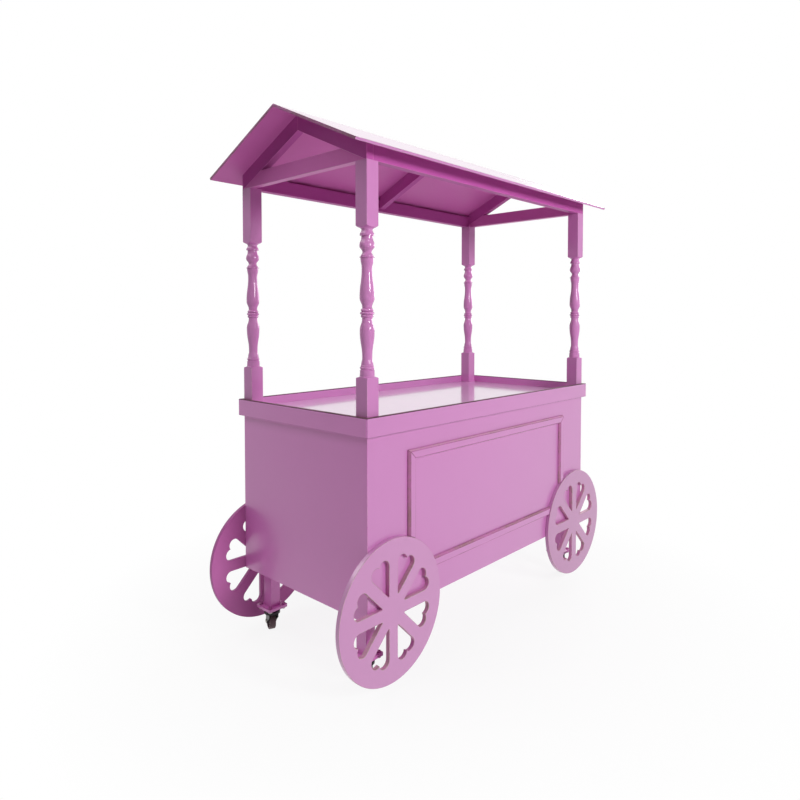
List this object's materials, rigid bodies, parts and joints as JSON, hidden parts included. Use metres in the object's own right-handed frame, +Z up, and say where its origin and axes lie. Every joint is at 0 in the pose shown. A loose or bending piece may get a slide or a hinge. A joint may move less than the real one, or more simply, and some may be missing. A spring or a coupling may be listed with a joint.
{
  "type": "market display cart",
  "caption": "Roofed display cart on swivel casters: boxed cabinet with a rimmed counter, turned corner posts, gabled roof and fixed decorative wheels with heart cut-outs.",
  "frame": {"origin": "on the floor, under the middle of the cart", "axes": "+X along the cart's length, -Y towards the moulded front, +Z up"},
  "size_m": [1.6859, 0.79, 1.8967],
  "materials": {
    "painted_wood": "gloss orchid-pink paint over wood boards and turnings",
    "painted_steel": "the same gloss pink paint over steel",
    "black_steel": "satin black",
    "bright_steel": "zinc-plated, slightly dull",
    "wheel_rubber": "matt black, scuffed"
  },
  "bodies": {
    "root": {"end_panel_left": "painted_wood", "end_panel_right": "painted_wood", "rear_panel_left": "painted_wood", "rear_panel_right": "painted_wood", "front_panel": "painted_wood", "rear_top_rail": "painted_wood", "cabinet_floor": "painted_wood", "shelf": "painted_wood", "counter_board": "painted_wood", "fascia_front": "painted_wood", "fascia_rear": "painted_wood", "fascia_left": "painted_wood", "fascia_right": "painted_wood", "moulding_top": "painted_wood", "moulding_bottom": "painted_wood", "moulding_left": "painted_wood", "moulding_right": "painted_wood", "eave_beam_front": "painted_wood", "eave_beam_rear": "painted_wood", "tie_beam_left": "painted_wood", "tie_beam_right": "painted_wood", "rafter_front_left": "painted_wood", "rafter_rear_left": "painted_wood", "rafter_front_right": "painted_wood", "rafter_rear_right": "painted_wood", "rafter_front_middle": "painted_wood", "rafter_rear_middle": "painted_wood", "roof_board_front": "painted_wood", "roof_board_rear": "painted_wood", "post_front_left": "painted_wood", "heart_wheel_front_left": "painted_wood", "leg_front_left": "painted_wood", "caster_plate_front_left": "painted_steel", "post_front_right": "painted_wood", "heart_wheel_front_right": "painted_wood", "leg_front_right": "painted_wood", "caster_plate_front_right": "painted_steel", "post_rear_left": "painted_wood", "heart_wheel_rear_left": "painted_wood", "leg_rear_left": "painted_wood", "caster_plate_rear_left": "painted_steel", "post_rear_right": "painted_wood", "heart_wheel_rear_right": "painted_wood", "leg_rear_right": "painted_wood", "caster_plate_rear_right": "painted_steel", "caster_kingpins": "bright_steel", "caster_bolts_and_nuts": "bright_steel", "leg_screws": "bright_steel"},
    "fork_front_left": {"caster_fork_front_left": "black_steel", "caster_axle_front_left": "bright_steel"},
    "wheel_front_left": {"caster_wheel_front_left": "wheel_rubber"},
    "fork_front_right": {"caster_fork_front_right": "black_steel", "caster_axle_front_right": "bright_steel"},
    "wheel_front_right": {"caster_wheel_front_right": "wheel_rubber"},
    "fork_rear_left": {"caster_fork_rear_left": "black_steel", "caster_axle_rear_left": "bright_steel"},
    "wheel_rear_left": {"caster_wheel_rear_left": "wheel_rubber"},
    "fork_rear_right": {"caster_fork_rear_right": "black_steel", "caster_axle_rear_right": "bright_steel"},
    "wheel_rear_right": {"caster_wheel_rear_right": "wheel_rubber"}
  },
  "joints": [
    {"name": "swivel_front_left", "type": "hinge", "parent": "root", "child": "fork_front_left", "pos_m": [-0.633, -0.258, 0], "axis": [0, 0, 1], "continuous": true},
    {"name": "roll_front_left", "type": "hinge", "parent": "fork_front_left", "child": "wheel_front_left", "pos_m": [-0.6224, -0.24104, 0.0325], "axis": [-0.848, 0.5299, 0], "continuous": true},
    {"name": "swivel_front_right", "type": "hinge", "parent": "root", "child": "fork_front_right", "pos_m": [0.633, -0.258, 0], "axis": [0, 0, 1], "continuous": true},
    {"name": "roll_front_right", "type": "hinge", "parent": "fork_front_right", "child": "wheel_front_right", "pos_m": [0.62782, -0.27732, 0.0325], "axis": [0.9659, -0.2588, 0], "continuous": true},
    {"name": "swivel_rear_left", "type": "hinge", "parent": "root", "child": "fork_rear_left", "pos_m": [-0.633, 0.258, 0], "axis": [0, 0, 1], "continuous": true},
    {"name": "roll_rear_left", "type": "hinge", "parent": "fork_rear_left", "child": "wheel_rear_left", "pos_m": [-0.62551, 0.27654, 0.0325], "axis": [-0.9272, 0.3746, 0], "continuous": true},
    {"name": "swivel_rear_right", "type": "hinge", "parent": "root", "child": "fork_rear_right", "pos_m": [0.633, 0.258, 0], "axis": [0, 0, 1], "continuous": true},
    {"name": "roll_rear_right", "type": "hinge", "parent": "fork_rear_right", "child": "wheel_rear_right", "pos_m": [0.61421, 0.26484, 0.0325], "axis": [-0.342, -0.9397, 0], "continuous": true}
  ]
}
